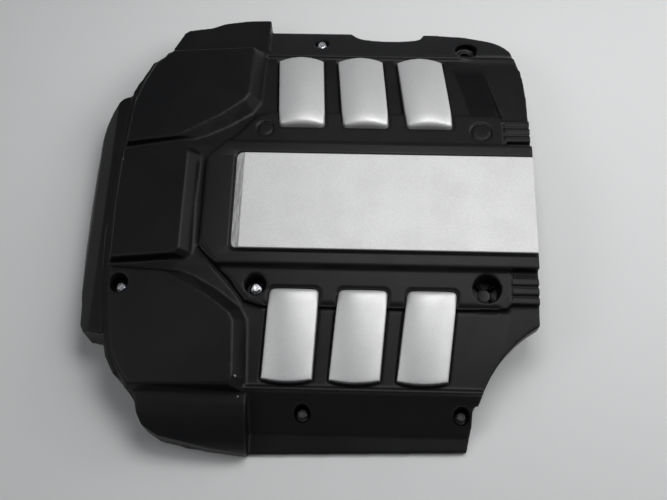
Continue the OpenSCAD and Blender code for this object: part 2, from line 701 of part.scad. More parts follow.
// Rubber grommet that grips a pocket's floor
module grommet(p) color([0.1, 0.1, 0.1]) {
    in_r = sleeve_out_r + fix_gap;
    at(p) rotate_extrude($fn = 64) polygon([
        [in_r, -wall - grommet_t], [grommet_r, -wall - grommet_t], [grommet_r, -wall],
        [seat_bore_r - fix_gap, -wall], [seat_bore_r - fix_gap, 0], [grommet_r, 0],
        [grommet_r, grommet_t], [in_r, grommet_t]]);
}

// Steel sleeve with a collar that the screw clamps
module sleeve(p) color([0.7, 0.71, 0.73]) {
    at(p) rotate_extrude($fn = 64) polygon([
        [sleeve_in_r, -wall - grommet_t], [sleeve_out_r, -wall - grommet_t], [sleeve_out_r, grommet_t],
        [screw_flange_r, grommet_t], [screw_flange_r, head_seat], [sleeve_in_r, head_seat]]);
}

// Push-on nuts on the studs, against the underside of the moulding
module nut(x, y, z) {
    translate([x, y, z - nut_t]) difference() {
        cylinder(r = nut_r, h = nut_t, $fn = 36);
        translate([0, 0, -1]) cylinder(r = stud_r + stud_gap, h = nut_t + 2, $fn = 24);
    }
}
module plate_nuts() color([0.45, 0.46, 0.48]) {
    for (p = plate_studs()) nut(p.x, p.y, plateau_z - wall);
}
seat_slope = atan((field_in_z - field_out_z) / (field_y - shelf_y));
module cap_nuts() color([0.45, 0.46, 0.48]) {
    for (s = [-1, 1], i = [0:2], p = cap_studs(i, s))
        translate([p.x, p.y, lookup(abs(p.y), floor_line) - seat_d - wall])
        rotate([-s * seat_slope, 0, 0]) nut(0, 0, 0);
}

cover_shell();
centre_plate();
trim_cap(0, 1);  // trim_cap_far_1
trim_cap(1, 1);  // trim_cap_far_2
trim_cap(2, 1);  // trim_cap_far_3
trim_cap(0, -1);  // trim_cap_near_1
trim_cap(1, -1);  // trim_cap_near_2
trim_cap(2, -1);  // trim_cap_near_3
screws_long();
screws_short();
grommet(pockets[0]);  // grommet_left
grommet(pockets[1]);  // grommet_shelf
grommet(pockets[2]);  // grommet_far
grommet(pockets[3]);  // grommet_skirt_mid
grommet(pockets[4]);  // grommet_skirt_right
sleeve(pockets[0]);  // sleeve_left
sleeve(pockets[1]);  // sleeve_shelf
sleeve(pockets[2]);  // sleeve_far
sleeve(pockets[3]);  // sleeve_skirt_mid
sleeve(pockets[4]);  // sleeve_skirt_right
plate_nuts();
cap_nuts();
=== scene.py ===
import json
import math
import bpy
import numpy as np
from mathutils import Matrix, Vector
from mathutils.geometry import convex_hull_2d


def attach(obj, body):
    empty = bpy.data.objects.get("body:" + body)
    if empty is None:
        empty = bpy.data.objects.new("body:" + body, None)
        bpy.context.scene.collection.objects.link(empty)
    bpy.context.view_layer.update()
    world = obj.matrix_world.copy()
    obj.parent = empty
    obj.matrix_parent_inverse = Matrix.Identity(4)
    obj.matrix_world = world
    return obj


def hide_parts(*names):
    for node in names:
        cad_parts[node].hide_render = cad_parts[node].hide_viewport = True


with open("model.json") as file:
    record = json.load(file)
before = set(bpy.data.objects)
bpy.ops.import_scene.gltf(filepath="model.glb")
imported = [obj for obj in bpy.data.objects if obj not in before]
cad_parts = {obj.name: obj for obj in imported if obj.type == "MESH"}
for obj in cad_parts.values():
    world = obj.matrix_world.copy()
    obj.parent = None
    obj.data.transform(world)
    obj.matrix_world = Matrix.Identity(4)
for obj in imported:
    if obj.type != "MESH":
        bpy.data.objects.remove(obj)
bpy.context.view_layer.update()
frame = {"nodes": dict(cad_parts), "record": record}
mm = 0.001
print("frame loaded")

# Height of the low deck in mm against the distance from the middle
deckHeights = [(0, 72), (84, 70), (131, 65), (229, 56)]

# Fixing points in mm: x, y, height of the pocket's floor, free length of the screw
fixingPoints = {
    "left": (-225, -108, 43.26, 18),
    "shelf": (-58, -108, 49, 18),
    "far": (10, 262, 29, 10),
    "skirt_mid": (3, -255, 18, 10),
    "skirt_right": (191, -254, 18, 10),
}


def deckHeight(y):
    away, height = zip(*deckHeights)
    return mm * np.interp(np.abs(y) / mm, away, height)


# Helpers for node trees

# A group whose sockets are all floats: inputs as names and first values, outputs as names
def newGroup(name, inputs, outputs):
    group = bpy.data.node_groups.new(name, "ShaderNodeTree")
    for label, value in inputs.items():
        made = group.interface.new_socket(name=label, in_out="INPUT", socket_type="NodeSocketFloat")
        made.default_value = value
    for label in outputs:
        group.interface.new_socket(name=label, in_out="OUTPUT", socket_type="NodeSocketFloat")
    return group, group.nodes.new("NodeGroupInput").outputs, group.nodes.new("NodeGroupOutput").inputs


# Inputs go by name, with _ for a space, or by number as i0 and i1. A socket is linked, a value is set
def setInput(tree, made, key, value):
    target = made.inputs[int(key[1:]) if key[0] == "i" and key[1:].isdigit() else key.replace("_", " ")]
    if isinstance(value, bpy.types.NodeSocket):
        tree.links.new(value, target)
    else:
        target.default_value = value


def addNode(tree, kind, settings=None, **inputs):
    made = tree.nodes.new(kind)
    for key, value in (settings or {}).items():
        setattr(made, key, value)
    for key, value in inputs.items():
        setInput(tree, made, key, value)
    return made


def placeGroup(tree, group, values):
    made = addNode(tree, "ShaderNodeGroup", {"node_tree": group})
    for key, value in values.items():
        setInput(tree, made, key, value)
    return made.outputs


def maths(tree, operation, a, b):
    return addNode(tree, "ShaderNodeMath", {"operation": operation}, i0=a, i1=b).outputs[0]


# A colour mix's own sockets: 0 is its factor, 6 and 7 its colours, and 2 what it puts out
def blendColour(tree, mask, a, b):
    return addNode(tree, "ShaderNodeMix", {"data_type": "RGBA"}, i0=mask, i6=a, i7=b).outputs[2]


def rampMask(tree, value, low, high):
    made = addNode(tree, "ShaderNodeMapRange", {"interpolation_type": "SMOOTHSTEP"}, Value=value,
                   From_Min=low, From_Max=high)
    return made.outputs[0]


def objectPlace(tree):
    return addNode(tree, "ShaderNodeTexCoord").outputs["Object"]


def scaledPlace(tree, scale):
    return addNode(tree, "ShaderNodeMapping", Vector=objectPlace(tree), Scale=scale).outputs[0]


def noise(tree, place, scale, **more):
    return addNode(tree, "ShaderNodeTexNoise", Vector=place, Scale=scale, **more).outputs[0]


# One share of the surface's normal: 0 is across, 1 away and 2 up
def normalShare(tree, axis):
    normal = addNode(tree, "ShaderNodeNewGeometry").outputs["Normal"]
    return addNode(tree, "ShaderNodeSeparateXYZ", Vector=normal).outputs[axis]


# Node groups shared by the finishes

# Fine moulded grain: small pits over a faint slow swell
def buildGrain():
    inputs = {"Fine Scale": 1400.0, "Broad Scale": 60.0, "Broad Share": 0.3}
    group, given, out = newGroup("mouldedGrain", inputs, ["Height", "Speckle"])
    place = objectPlace(group)
    fine = noise(group, place, given["Fine Scale"], Detail=2.0)
    broad = noise(group, place, given["Broad Scale"], Detail=2.0)
    swell = maths(group, "MULTIPLY", broad, given["Broad Share"])
    group.links.new(maths(group, "ADD", fine, swell), out["Height"])
    group.links.new(fine, out["Speckle"])
    return group


wearValues = {"patchLow": 0.35, "patchHigh": 0.6}


# Rubbed edges: a mask where the surface turns sharply outwards, broken up in patches
def buildEdgeWear():
    v = wearValues
    group, given, out = newGroup("rubbedEdges", {"Low": 0.52, "High": 0.6, "Break Scale": 90.0}, ["Mask"])
    pointed = addNode(group, "ShaderNodeNewGeometry").outputs["Pointiness"]
    edge = rampMask(group, pointed, given["Low"], given["High"])
    patch = noise(group, objectPlace(group), given["Break Scale"], Detail=4.0)
    broken = rampMask(group, patch, v["patchLow"], v["patchHigh"])
    group.links.new(maths(group, "MULTIPLY", edge, broken), out["Mask"])
    return group


dustValues = {"patchLow": 0.42, "patchHigh": 0.7, "facingLow": 0.2, "facingHigh": 0.95}


# Dust and handling: patches that lie on faces turned upwards
def buildDust():
    v = dustValues
    group, given, out = newGroup("settledDust", {"Patch Scale": 14.0, "Amount": 0.5}, ["Mask", "Patch"])
    patch = noise(group, objectPlace(group), given["Patch Scale"], Detail=6.0, Roughness=0.6)
    facing = rampMask(group, normalShare(group, 2), v["facingLow"], v["facingHigh"])
    soft = rampMask(group, patch, v["patchLow"], v["patchHigh"])
    laid = maths(group, "MULTIPLY", soft, facing)
    group.links.new(maths(group, "MULTIPLY", laid, given["Amount"]), out["Mask"])
    group.links.new(patch, out["Patch"])
    return group


grainGroup = buildGrain()
wearGroup = buildEdgeWear()
dustGroup = buildDust()


# Finishes

def newFinish(name, **sockets):
    material = bpy.data.materials.new(name)
    material.use_nodes = True
    shader = material.node_tree.nodes["Principled BSDF"]
    for key, value in sockets.items():
        shader.inputs[key.replace("_", " ")].default_value = value
    return material, material.node_tree, shader


noiseRange = (0.3, 0.7)  # where nearly all values of a noise lie


def roughBetween(tree, value, low, high):
    made = addNode(tree, "ShaderNodeMapRange", Value=value, From_Min=noiseRange[0], From_Max=noiseRange[1],
                   To_Min=low, To_Max=high)
    return made.outputs[0]


def bumpInto(tree, shader, height, strength, depth):
    made = addNode(tree, "ShaderNodeBump", Height=height, Strength=strength, Distance=depth)
    tree.links.new(made.outputs[0], shader.inputs["Normal"])


# Painted glints and wells as x, y and radius, and the channel's sides, in metres
blackPlasticValues = {
    "base": (0.0045, 0.0045, 0.0049, 1), "worn": (0.011, 0.011, 0.0115, 1), "dusty": (0.04, 0.039, 0.036, 1),
    "roughLow": 0.36, "roughHigh": 0.48, "specular": 0.24, "grainDepth": 0.00012, "grainStrength": 0.35,
    "grain": {"Fine Scale": 1500.0, "Broad Scale": 45.0, "Broad Share": 0.25},
    "wear": {"Low": 0.56, "High": 0.72, "Break Scale": 120.0},
    "dust": {"Patch Scale": 9.0, "Amount": 0.06},
    "paintedGlints": [(-0.0745, -0.222, 0.0012), (-0.072, -0.242, 0.001), (-0.238, 0.06, 0.0009)],
    "glintColour": (0.3, 0.3, 0.29, 1), "glintRagScale": 1100.0, "glintSpread": 2.2, "glintEdge": 0.0003,
    "polish": 0.2, "wells": [(0.209, 0.252, 0.015), (0.003, -0.255, 0.0095), (0.191, -0.254, 0.0095)],
    "channelAcross": (0.2095, 0.2495), "channelAlong": (0.134, 0.219), "channelLean": 0.26,
    "channelFade": 0.02,
}


def vectorMaths(tree, operation, a, b):
    return addNode(tree, "ShaderNodeVectorMath", {"operation": operation}, i0=a, i1=b).outputs


# Distance from an upright line at x and y
def planDistance(tree, x, y):
    flat = vectorMaths(tree, "MULTIPLY", objectPlace(tree), (1, 1, 0))["Vector"]
    return vectorMaths(tree, "DISTANCE", flat, (x, y, 0))["Value"]


# Painted glints: small pale specks with a ragged outline, on corners where light catches
def paintedGlintMask(tree):
    v = blackPlasticValues
    ragged = noise(tree, objectPlace(tree), v["glintRagScale"], Detail=2.0)
    total = 0.0
    for x, y, radius in v["paintedGlints"]:
        reach = maths(tree, "MULTIPLY", ragged, v["glintSpread"] * radius)
        inside = maths(tree, "SUBTRACT", reach, planDistance(tree, x, y))
        total = maths(tree, "MAXIMUM", total, rampMask(tree, inside, 0.0, v["glintEdge"]))
    return total


# The far channel's floor, which is smoother than the grained faces round it
def channelMask(tree):
    v = blackPlasticValues
    split = addNode(tree, "ShaderNodeSeparateXYZ", Vector=objectPlace(tree))
    along = split.outputs[1]
    across = maths(tree, "ADD", split.outputs[0], maths(tree, "MULTIPLY", along, v["channelLean"]))
    shift = v["channelLean"] * (v["channelAlong"][0] - mm)
    leaning = [side + shift for side in v["channelAcross"]]
    total = 1.0
    for value, (low, high), fade in ((across, leaning, mm), (along, v["channelAlong"], v["channelFade"])):
        total = maths(tree, "MULTIPLY", total, rampMask(tree, value, low - mm, low + mm))
        total = maths(tree, "MULTIPLY", total, rampMask(tree, value, high + mm, high - fade))
    return total


# Walls and floors of the wells, which are smooth too
def wellMask(tree):
    total = 0.0
    for x, y, radius in blackPlasticValues["wells"]:
        inside = rampMask(tree, planDistance(tree, x, y), radius, radius - mm)
        total = maths(tree, "MAXIMUM", total, inside)
    return total


def blackPlastic():
    v = blackPlasticValues
    material, tree, shader = newFinish("grainedBlackPlastic", Specular_IOR_Level=v["specular"])
    grain = placeGroup(tree, grainGroup, v["grain"])
    wear = placeGroup(tree, wearGroup, v["wear"])
    dust = placeGroup(tree, dustGroup, v["dust"])
    worn = blendColour(tree, wear["Mask"], v["base"], v["worn"])
    dusty = blendColour(tree, dust["Mask"], worn, v["dusty"])
    # Painted glints: pale specks on the shell where corners catch the light
    glinted = blendColour(tree, paintedGlintMask(tree), dusty, v["glintColour"])
    tree.links.new(glinted, shader.inputs["Base Color"])
    rough = roughBetween(tree, dust["Patch"], v["roughLow"], v["roughHigh"])
    smooth = maths(tree, "MAXIMUM", channelMask(tree), wellMask(tree))
    polished = maths(tree, "SUBTRACT", rough, maths(tree, "MULTIPLY", smooth, v["polish"]))
    tree.links.new(polished, shader.inputs["Roughness"])
    bumpInto(tree, shader, grain["Height"], v["grainStrength"], v["grainDepth"])
    return material


silverValues = {
    "coat": 0.05, "coatRough": 0.35, "grainDepth": 0.00008, "flakeLow": 0.35, "flakeHigh": 0.65,
    "handled": (0.5, 0.495, 0.48, 1), "rubbed": (0.78, 0.78, 0.78, 1), "paintedShadeTone": (0.2, 0.2, 0.2, 1),
    "grain": {"Fine Scale": 1100.0, "Broad Scale": 30.0, "Broad Share": 0.4},
    "wear": {"Low": 0.56, "High": 0.7, "Break Scale": 160.0},
    "dust": {"Patch Scale": 26.0, "Amount": 0.1},
    # The slant and streak values set the painted shade on faces leaning to the left
    "slantLow": 0.1, "slantHigh": 0.22, "slantShade": 0.55,
    "shadeStreakScale": 500.0, "shadeStreakLength": 0.12, "shadeStreakLow": 0.3, "shadeStreakHigh": 0.6,
}
platePaintValues = {
    "pale": (0.78, 0.78, 0.775, 1), "dark": (0.68, 0.68, 0.675, 1), "roughLow": 0.5, "roughHigh": 0.57,
    # This paint gets the painted shade on faces leaning to the left
    "metal": 0.3, "grainStrength": 0.3, "leftShadePainted": True,
}
capPaintValues = {
    "pale": (0.77, 0.77, 0.765, 1), "dark": (0.68, 0.68, 0.675, 1), "roughLow": 0.42, "roughHigh": 0.52,
    "metal": 0.5, "grainStrength": 0.25, "leftShadePainted": False,
}


# Painted shade: streaks that darken the faces leaning to the left, such as the plate's sloping end, as if less
# light fell on them
def paintedLeftShade(tree):
    v = silverValues
    leftward = maths(tree, "MULTIPLY", normalShare(tree, 0), -1.0)
    leaning = rampMask(tree, leftward, v["slantLow"], v["slantHigh"])
    lines = noise(tree, scaledPlace(tree, (1.0, v["shadeStreakLength"], 1.0)), v["shadeStreakScale"], Detail=2.0)
    drawn = rampMask(tree, lines, v["shadeStreakLow"], v["shadeStreakHigh"])
    return maths(tree, "MULTIPLY", leaning, maths(tree, "MULTIPLY", drawn, v["slantShade"]))


def silverPaint(name, paint):
    v = silverValues
    material, tree, shader = newFinish(name, Metallic=paint["metal"], Coat_Weight=v["coat"],
                                       Coat_Roughness=v["coatRough"])
    grain = placeGroup(tree, grainGroup, v["grain"])
    wear = placeGroup(tree, wearGroup, v["wear"])
    dust = placeGroup(tree, dustGroup, v["dust"])
    flake = rampMask(tree, grain["Speckle"], v["flakeLow"], v["flakeHigh"])
    mottled = blendColour(tree, flake, paint["dark"], paint["pale"])
    handled = blendColour(tree, dust["Mask"], mottled, v["handled"])
    colour = blendColour(tree, wear["Mask"], handled, v["rubbed"])
    # Painted shade on the faces leaning to the left, broken into streaks
    if paint["leftShadePainted"]:
        colour = blendColour(tree, paintedLeftShade(tree), colour, v["paintedShadeTone"])
    tree.links.new(colour, shader.inputs["Base Color"])
    rough = roughBetween(tree, dust["Patch"], paint["roughLow"], paint["roughHigh"])
    tree.links.new(rough, shader.inputs["Roughness"])
    bumpInto(tree, shader, grain["Height"], paint["grainStrength"], v["grainDepth"])
    return material


steelValues = {
    "strokes": 320.0, "strokeSquash": 12.0, "bumpStrength": 0.25, "bumpDepth": 0.00005,
    "wear": {"Low": 0.55, "High": 0.7, "Break Scale": 260.0},
}
steelTones = {
    "zincPlatedSteel": {"pale": (0.8, 0.81, 0.83, 1), "dark": (0.5, 0.51, 0.53, 1), "rough": (0.2, 0.38)},
    "plainSteel": {"pale": (0.62, 0.63, 0.65, 1), "dark": (0.4, 0.41, 0.43, 1), "rough": (0.3, 0.5)},
    "darkSpringSteel": {"pale": (0.24, 0.25, 0.27, 1), "dark": (0.12, 0.125, 0.14, 1), "rough": (0.35, 0.55)},
    # A darker, rougher copy of the steel, with painted shade for the screws that sit in the skirt's shade
    "paintedShadeSteel": {"pale": (0.09, 0.09, 0.09, 1), "dark": (0.04, 0.04, 0.042, 1), "rough": (0.45, 0.65)},
}


def steel(name):
    v = steelValues
    tone = steelTones[name]
    material, tree, shader = newFinish(name, Metallic=1.0)
    lines = noise(tree, scaledPlace(tree, (1.0, 1.0, v["strokeSquash"])), v["strokes"], Detail=3.0)
    wear = placeGroup(tree, wearGroup, v["wear"])
    drawn = blendColour(tree, lines, tone["dark"], tone["pale"])
    tree.links.new(blendColour(tree, wear["Mask"], drawn, tone["pale"]), shader.inputs["Base Color"])
    tree.links.new(roughBetween(tree, lines, *tone["rough"]), shader.inputs["Roughness"])
    bumpInto(tree, shader, lines, v["bumpStrength"], v["bumpDepth"])
    return material


rubberValues = {
    "base": (0.014, 0.014, 0.014, 1), "dusty": (0.06, 0.058, 0.054, 1), "specular": 0.3,
    "roughLow": 0.7, "roughHigh": 0.85, "grainStrength": 0.4, "grainDepth": 0.00015,
    "grain": {"Fine Scale": 900.0, "Broad Scale": 120.0, "Broad Share": 0.6},
    "dust": {"Patch Scale": 60.0, "Amount": 0.5},
}


def rubber():
    v = rubberValues
    material, tree, shader = newFinish("softRubber", Specular_IOR_Level=v["specular"])
    grain = placeGroup(tree, grainGroup, v["grain"])
    dust = placeGroup(tree, dustGroup, v["dust"])
    tree.links.new(blendColour(tree, dust["Mask"], v["base"], v["dusty"]), shader.inputs["Base Color"])
    rough = roughBetween(tree, dust["Patch"], v["roughLow"], v["roughHigh"])
    tree.links.new(rough, shader.inputs["Roughness"])
    bumpInto(tree, shader, grain["Height"], v["grainStrength"], v["grainDepth"])
    return material


finishes = {
    "shell_plastic": blackPlastic(),
    "silver_satin": silverPaint("satinSilverPaint", platePaintValues),
    "silver_gloss": silverPaint("capSilverPaint", capPaintValues),
    "plated_steel": steel("zincPlatedSteel"),
    "sleeve_steel": steel("plainSteel"),
    "spring_steel": steel("darkSpringSteel"),
    "rubber": rubber(),
}
print("finishes built")


# Mesh helpers

def settle(name, mesh, slotName, *nodes):
    piece = bpy.data.objects.new(name, mesh)
    bpy.context.scene.collection.objects.link(piece)
    mesh.materials.clear()
    mesh.materials.append(finishes[slotName])
    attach(piece, "root")
    if nodes:
        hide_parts(*nodes)
    return piece


def runModifier(obj, kind, values):
    made = obj.modifiers.new(kind, kind)
    for key, value in values.items():
        setattr(made, key, value)
    graph = bpy.context.evaluated_depsgraph_get()
    graph.update()
    mesh = bpy.data.meshes.new_from_object(obj.evaluated_get(graph))
    obj.modifiers.clear()
    return mesh


def scratchObject(mesh):
    obj = bpy.data.objects.new("scratch", mesh)
    bpy.context.scene.collection.objects.link(obj)
    return obj


def dropObject(obj):
    old = obj.data
    bpy.data.objects.remove(obj)
    if old.users == 0:
        bpy.data.meshes.remove(old)


def meshPoints(mesh):
    points = np.empty(len(mesh.vertices) * 3)
    mesh.vertices.foreach_get("co", points)
    return points.reshape(-1, 3)


def setPoints(mesh, points):
    mesh.vertices.foreach_set("co", points.reshape(-1))
    mesh.update()


def edgePairs(mesh):
    pairs = np.empty(len(mesh.edges) * 2, dtype=np.int64)
    mesh.edges.foreach_get("vertices", pairs)
    return pairs.reshape(-1, 2)


def triangleCount(mesh):
    return sum(len(p.vertices) - 2 for p in mesh.polygons)


relaxShare = 0.5  # how far a round moves a point towards the middle of its neighbours


def relax(points, pairs, rounds):
    count = np.bincount(pairs.reshape(-1), minlength=len(points)).astype(float)[:, None]
    for _ in range(rounds):
        total = np.zeros_like(points)
        for axis in range(3):
            total[:, axis] = (np.bincount(pairs[:, 0], points[pairs[:, 1], axis], len(points))
                              + np.bincount(pairs[:, 1], points[pairs[:, 0], axis], len(points)))
        points = points + relaxShare * (total / np.maximum(count, 1) - points)
    return points


def smoothStep(value, low, high):
    share = np.clip((value - low) / (high - low), 0, 1)
    return share * share * (3 - 2 * share)


# A moulded body: the CAD shape resampled evenly, its edges rounded as a mould leaves them.
# softness gives each point's share of the rounding; shape moves the points afterwards
def roundedCopy(node, values, softness=None, shape=None):
    work = scratchObject(frame["nodes"][node].data.copy())
    dense = runModifier(work, "REMESH", {"mode": "VOXEL", "voxel_size": values["voxel"], "adaptivity": 0.0})
    dropObject(work)
    points = meshPoints(dense)
    pairs = edgePairs(dense)
    soft = relax(points, pairs, values["rounds"])
    if softness is not None:
        light = relax(points, pairs, 1)
        soft = light + (soft - light) * softness(points)[:, None]
    if shape is not None:
        soft = shape(soft, dense)
    setPoints(dense, soft)
    triangles = triangleCount(dense)
    work = scratchObject(dense)
    kept = min(1.0, values["budget"] / triangles)
    mesh = runModifier(work, "DECIMATE", {"decimate_type": "COLLAPSE", "ratio": kept})
    dropObject(work)
    mesh.polygons.foreach_set("use_smooth", [True] * len(mesh.polygons))
    print(node, "resampled:", triangles, "to", triangleCount(mesh))
    return mesh


# Outline of a CAD piece seen from above, as a convex ring of points
def outlineOf(node):
    points = [Vector((c.co.x, c.co.y)) for c in frame["nodes"][node].data.vertices]
    return np.array([points[i][:] for i in convex_hull_2d(points)])


def lineDistance(points, line):
    tiny = 1e-12  # keeps a step of no length from dividing by nothing
    nearest = np.full(len(points), np.inf)
    for start, end in zip(line[:-1], line[1:]):
        step = end - start
        share = np.clip((points[:, :2] - start) @ step / max(step @ step, tiny), 0, 1)
        nearest = np.minimum(nearest, np.linalg.norm(points[:, :2] - start - share[:, None] * step, axis=1))
    return nearest


# Shell

# Lengths in metres; budget is the number of triangles kept
shellValues = {
    "voxel": 0.0015, "rounds": 3, "budget": 190000, "rimLow": 0.003, "rimHigh": 0.012,
    "ribsFrom": 0.244, "ribsTo": 0.252, "ribsInner": 0.088, "ribsOuter": 0.134,
    "ridgeAt": 0.229, "fadeFrom": 0.195, "fadeTo": 0.222, "fadeCore": 0.008, "fadeReach": 0.018,
    "fadeAbove": 0.035, "fadeRounds": 60,
}

# Grooves too fine for the resampling: rings as x, y, radius, and lines as depth, width, points, all in mm.
# They lie on faces turned upwards, higher than lowest, which is in metres
grooveValues = {
    "rings": [(221, 108, 12.7), (-58, 108, 10.2)], "ringDepth": 2.2, "ringWidth": 1.2,
    "seam": (1.0, 1.2, [(-236, 168), (-243, 95), (-249, 23), (-251, -40), (-249, -79), (-239, -160)]),
    "dent": (0.4, 6.0, [(-222, 122), (-214, 106), (-196, 97), (-172, 95)]),
    "step": (2.4, 3.4, [(-44, -133), (232, -133)]),
    "plateauFoot": (2.4, 2.6, [(-131, -58), (-120, -70), (-107, -87), (-94, -101), (-80, -117), (-72, -128)]),
    "ribGaps": [91.7, 104, 116], "ribGapDepth": 2.0, "ribGapWidth": 1.2, "ribGapStart": 251,
    "ribStart": 250, "ribEnd": 285, "ribEdge": [84, 121],
    "upwardLow": 0.5, "upwardHigh": 0.8, "lowest": 0.04,
    "gapDepth": 2.6, "gapWidth": 1.3, "gapOut": 1.0, "gapMargin": 6.0,
}
capNodes = ["trim_cap_%s_%d" % (side, number) for side in ("far", "near") for number in (1, 2, 3)]


# The rim and the end ribs keep their edges
def shellSoftness(points):
    v = shellValues
    raised = smoothStep(points[:, 2], v["rimLow"], v["rimHigh"])
    across = np.abs(points[:, 1])
    ribs = smoothStep(points[:, 0], v["ribsFrom"], v["ribsTo"])
    ribs *= (across > v["ribsInner"]) * (across < v["ribsOuter"])
    return raised * (1 - ribs)


# The far ridge fades out towards the right end, where the field runs smoothly into the flange
def fadeRidge(points, dense):
    v = shellValues
    weight = smoothStep(points[:, 0], v["fadeFrom"], v["fadeTo"])
    weight *= (points[:, 1] > 0) * (points[:, 2] > v["fadeAbove"])
    weight *= 1 - smoothStep(np.abs(points[:, 1] - v["ridgeAt"]), v["fadeCore"], v["fadeReach"])
    chosen = np.flatnonzero(weight > 0)
    place = np.full(len(points), -1)  # -1 marks a point that isn't chosen
    place[chosen] = np.arange(len(chosen))
    pairs = place[edgePairs(dense)]
    pairs = pairs[(pairs >= 0).all(1)]
    local = points[chosen]
    share = weight[chosen][:, None]
    for _ in range(v["fadeRounds"]):
        local = local + share * (relax(local, pairs, 1) - local)
    points[chosen] = local
    return points


def grooveLines():
    v = grooveValues
    lines = [v[name] for name in ("seam", "dent", "step", "plateauFoot")]
    for side in (1, -1):
        runs = [[(v["ribGapStart"], side * y), (v["ribEnd"], side * y)] for y in v["ribGaps"]]
        runs.append([(v["ribStart"], side * y) for y in v["ribEdge"]])
        lines += [(v["ribGapDepth"], v["ribGapWidth"], run) for run in runs]
    return lines


def grooveSink(away, depth, width):
    return depth * np.exp(-(away / mm / width) ** 2)


# Besides the grooves, a dark gap runs round each piece set into the moulding
def cutGrooves(points, dense):
    v = grooveValues
    normals = np.empty(len(points) * 3)
    dense.vertex_normals.foreach_get("vector", normals)
    upward = smoothStep(normals.reshape(-1, 3)[:, 2], v["upwardLow"], v["upwardHigh"])
    upward *= points[:, 2] > v["lowest"]
    sink = np.zeros(len(points))
    for x, y, radius in v["rings"]:
        away = np.hypot(points[:, 0] - x * mm, points[:, 1] - y * mm) - radius * mm
        sink = np.maximum(sink, grooveSink(away, v["ringDepth"], v["ringWidth"]))
    for depth, width, line in grooveLines():
        away = lineDistance(points, np.array(line, float) * mm)
        sink = np.maximum(sink, grooveSink(away, depth, width))
    margin = v["gapMargin"] * mm
    for node in capNodes + ["centre_plate"]:
        ring = outlineOf(node)
        low, high = ring.min(0), ring.max(0)
        near = np.all((points[:, :2] > low - margin) & (points[:, :2] < high + margin), axis=1)
        middle = (low + high) / 2
        grown = middle + (ring - middle) * (1 + 2 * v["gapOut"] * mm / (high - low))
        away = lineDistance(points[near], np.vstack([grown, grown[:1]]))
        sink[near] = np.maximum(sink[near], grooveSink(away, v["gapDepth"], v["gapWidth"]))
    points[:, 2] -= mm * sink * upward
    return points


def shapeShell(points, dense):
    return cutGrooves(fadeRidge(points, dense), dense)


shellMesh = roundedCopy("cover_shell", shellValues, shellSoftness, shapeShell)
settle("shell_moulding", shellMesh, "shell_plastic", "cover_shell")
print("shell done")

# Plate and caps

plateValues = {"voxel": 0.001, "rounds": 2, "budget": 24000}
settle("plate_panel", roundedCopy("centre_plate", plateValues), "silver_satin", "centre_plate")

capValues = {
    "voxel": 0.0008, "rounds": 90, "budget": 16000, "seatLow": 0.001, "seatHigh": 0.005,
    "rollFrom": 0.118, "rollTo": 0.14, "sideShare": 0.3,
    "rollLength": 0.02, "rollDrop": 0.0022, "dropLow": 0.001, "dropHigh": 0.007,
}


# Inner ends are rounded most, and what lies near the deck isn't
def capSoftness(points):
    v = capValues
    raised = smoothStep(points[:, 2] - deckHeight(points[:, 1]), v["seatLow"], v["seatHigh"])
    inner = 1 - smoothStep(np.abs(points[:, 1]), v["rollFrom"], v["rollTo"])
    return raised * (v["sideShare"] + (1 - v["sideShare"]) * inner)


# The inner end rolls down over its last stretch
def rollInnerEnd(points, dense):
    v = capValues
    away = np.abs(points[:, 1])
    share = 1 - np.clip((away - away.min()) / v["rollLength"], 0, 1)
    raised = smoothStep(points[:, 2] - deckHeight(points[:, 1]), v["dropLow"], v["dropHigh"])
    points[:, 2] -= v["rollDrop"] * share ** 2 * raised
    return points


for node in capNodes:
    capMesh = roundedCopy(node, capValues, capSoftness, rollInnerEnd)
    settle(node.replace("trim_", ""), capMesh, "silver_gloss", node)
print("plate and caps done")


# Lathed and cut small parts, in mm until meshFrom

def meshFrom(name, points, faces, scale=1.0, smooth=True):
    mesh = bpy.data.meshes.new(name)
    mesh.from_pydata([[c * scale for c in p] for p in points], [], faces)
    mesh.validate()
    mesh.update()
    mesh.polygons.foreach_set("use_smooth", [smooth] * len(mesh.polygons))
    return mesh


def markSharp(mesh, degrees):
    mesh.set_sharp_from_angle(angle=math.radians(degrees))
    return mesh


# Turns a profile of radius and height round centre; radiusAt may change a point's radius
def lathe(profile, centre, sides, radiusAt=None):
    points, faces = [], []
    n = len(profile)
    for k in range(sides):
        turn = 2 * math.pi * k / sides
        for i, (r, z) in enumerate(profile):
            reach = radiusAt(i, turn, r) if radiusAt else r
            offset = (reach * math.cos(turn), reach * math.sin(turn), z)
            points.append([c + o for c, o in zip(centre, offset)])
    for k in range(sides):
        following = (k + 1) % sides
        for i in range(n - 1):
            faces.append((k * n + i, following * n + i, following * n + i + 1, k * n + i + 1))
    return points, faces


# Lengths in mm. The lists are steps added to a radius and a height: tip to the core's and the bottom's,
# flangeRim to the flange's and its low face's, and headTop to the hexagon's and the top's
screwValues = {
    "shank": 3.0, "core": 2.6, "neck": 2.8, "pitch": 1.0, "below": 6.0, "sides": 48, "sharpAngle": 28,
    "nearAxis": 0.01, "tip": [(-0.6, 0.0), (0.0, 0.7)], "threadStart": 0.8, "threadSpare": 2, "threadSteps": 4,
    "threadSlope": 2.6, "flange": 7.2, "flangeLow": 4.0, "flangeThick": 1.6,
    "flangeRim": [(-0.3, 0.0), (0.0, 0.3), (0.0, 0.7), (-0.5, 1.0)], "flangeFoot": 0.9,
    "across": 10.0, "headHigh": 5.5, "hexTurn": 0.35, "flatLow": 0.4, "flatHigh": 1.2,
    "headTop": [(-0.1, -0.5), (-0.7, 0.0), (-1.6, 0.0), (-2.1, -0.5)], "dish": 0.6,
    "cornerMost": 1.125, "chamferMost": 1.06,
}


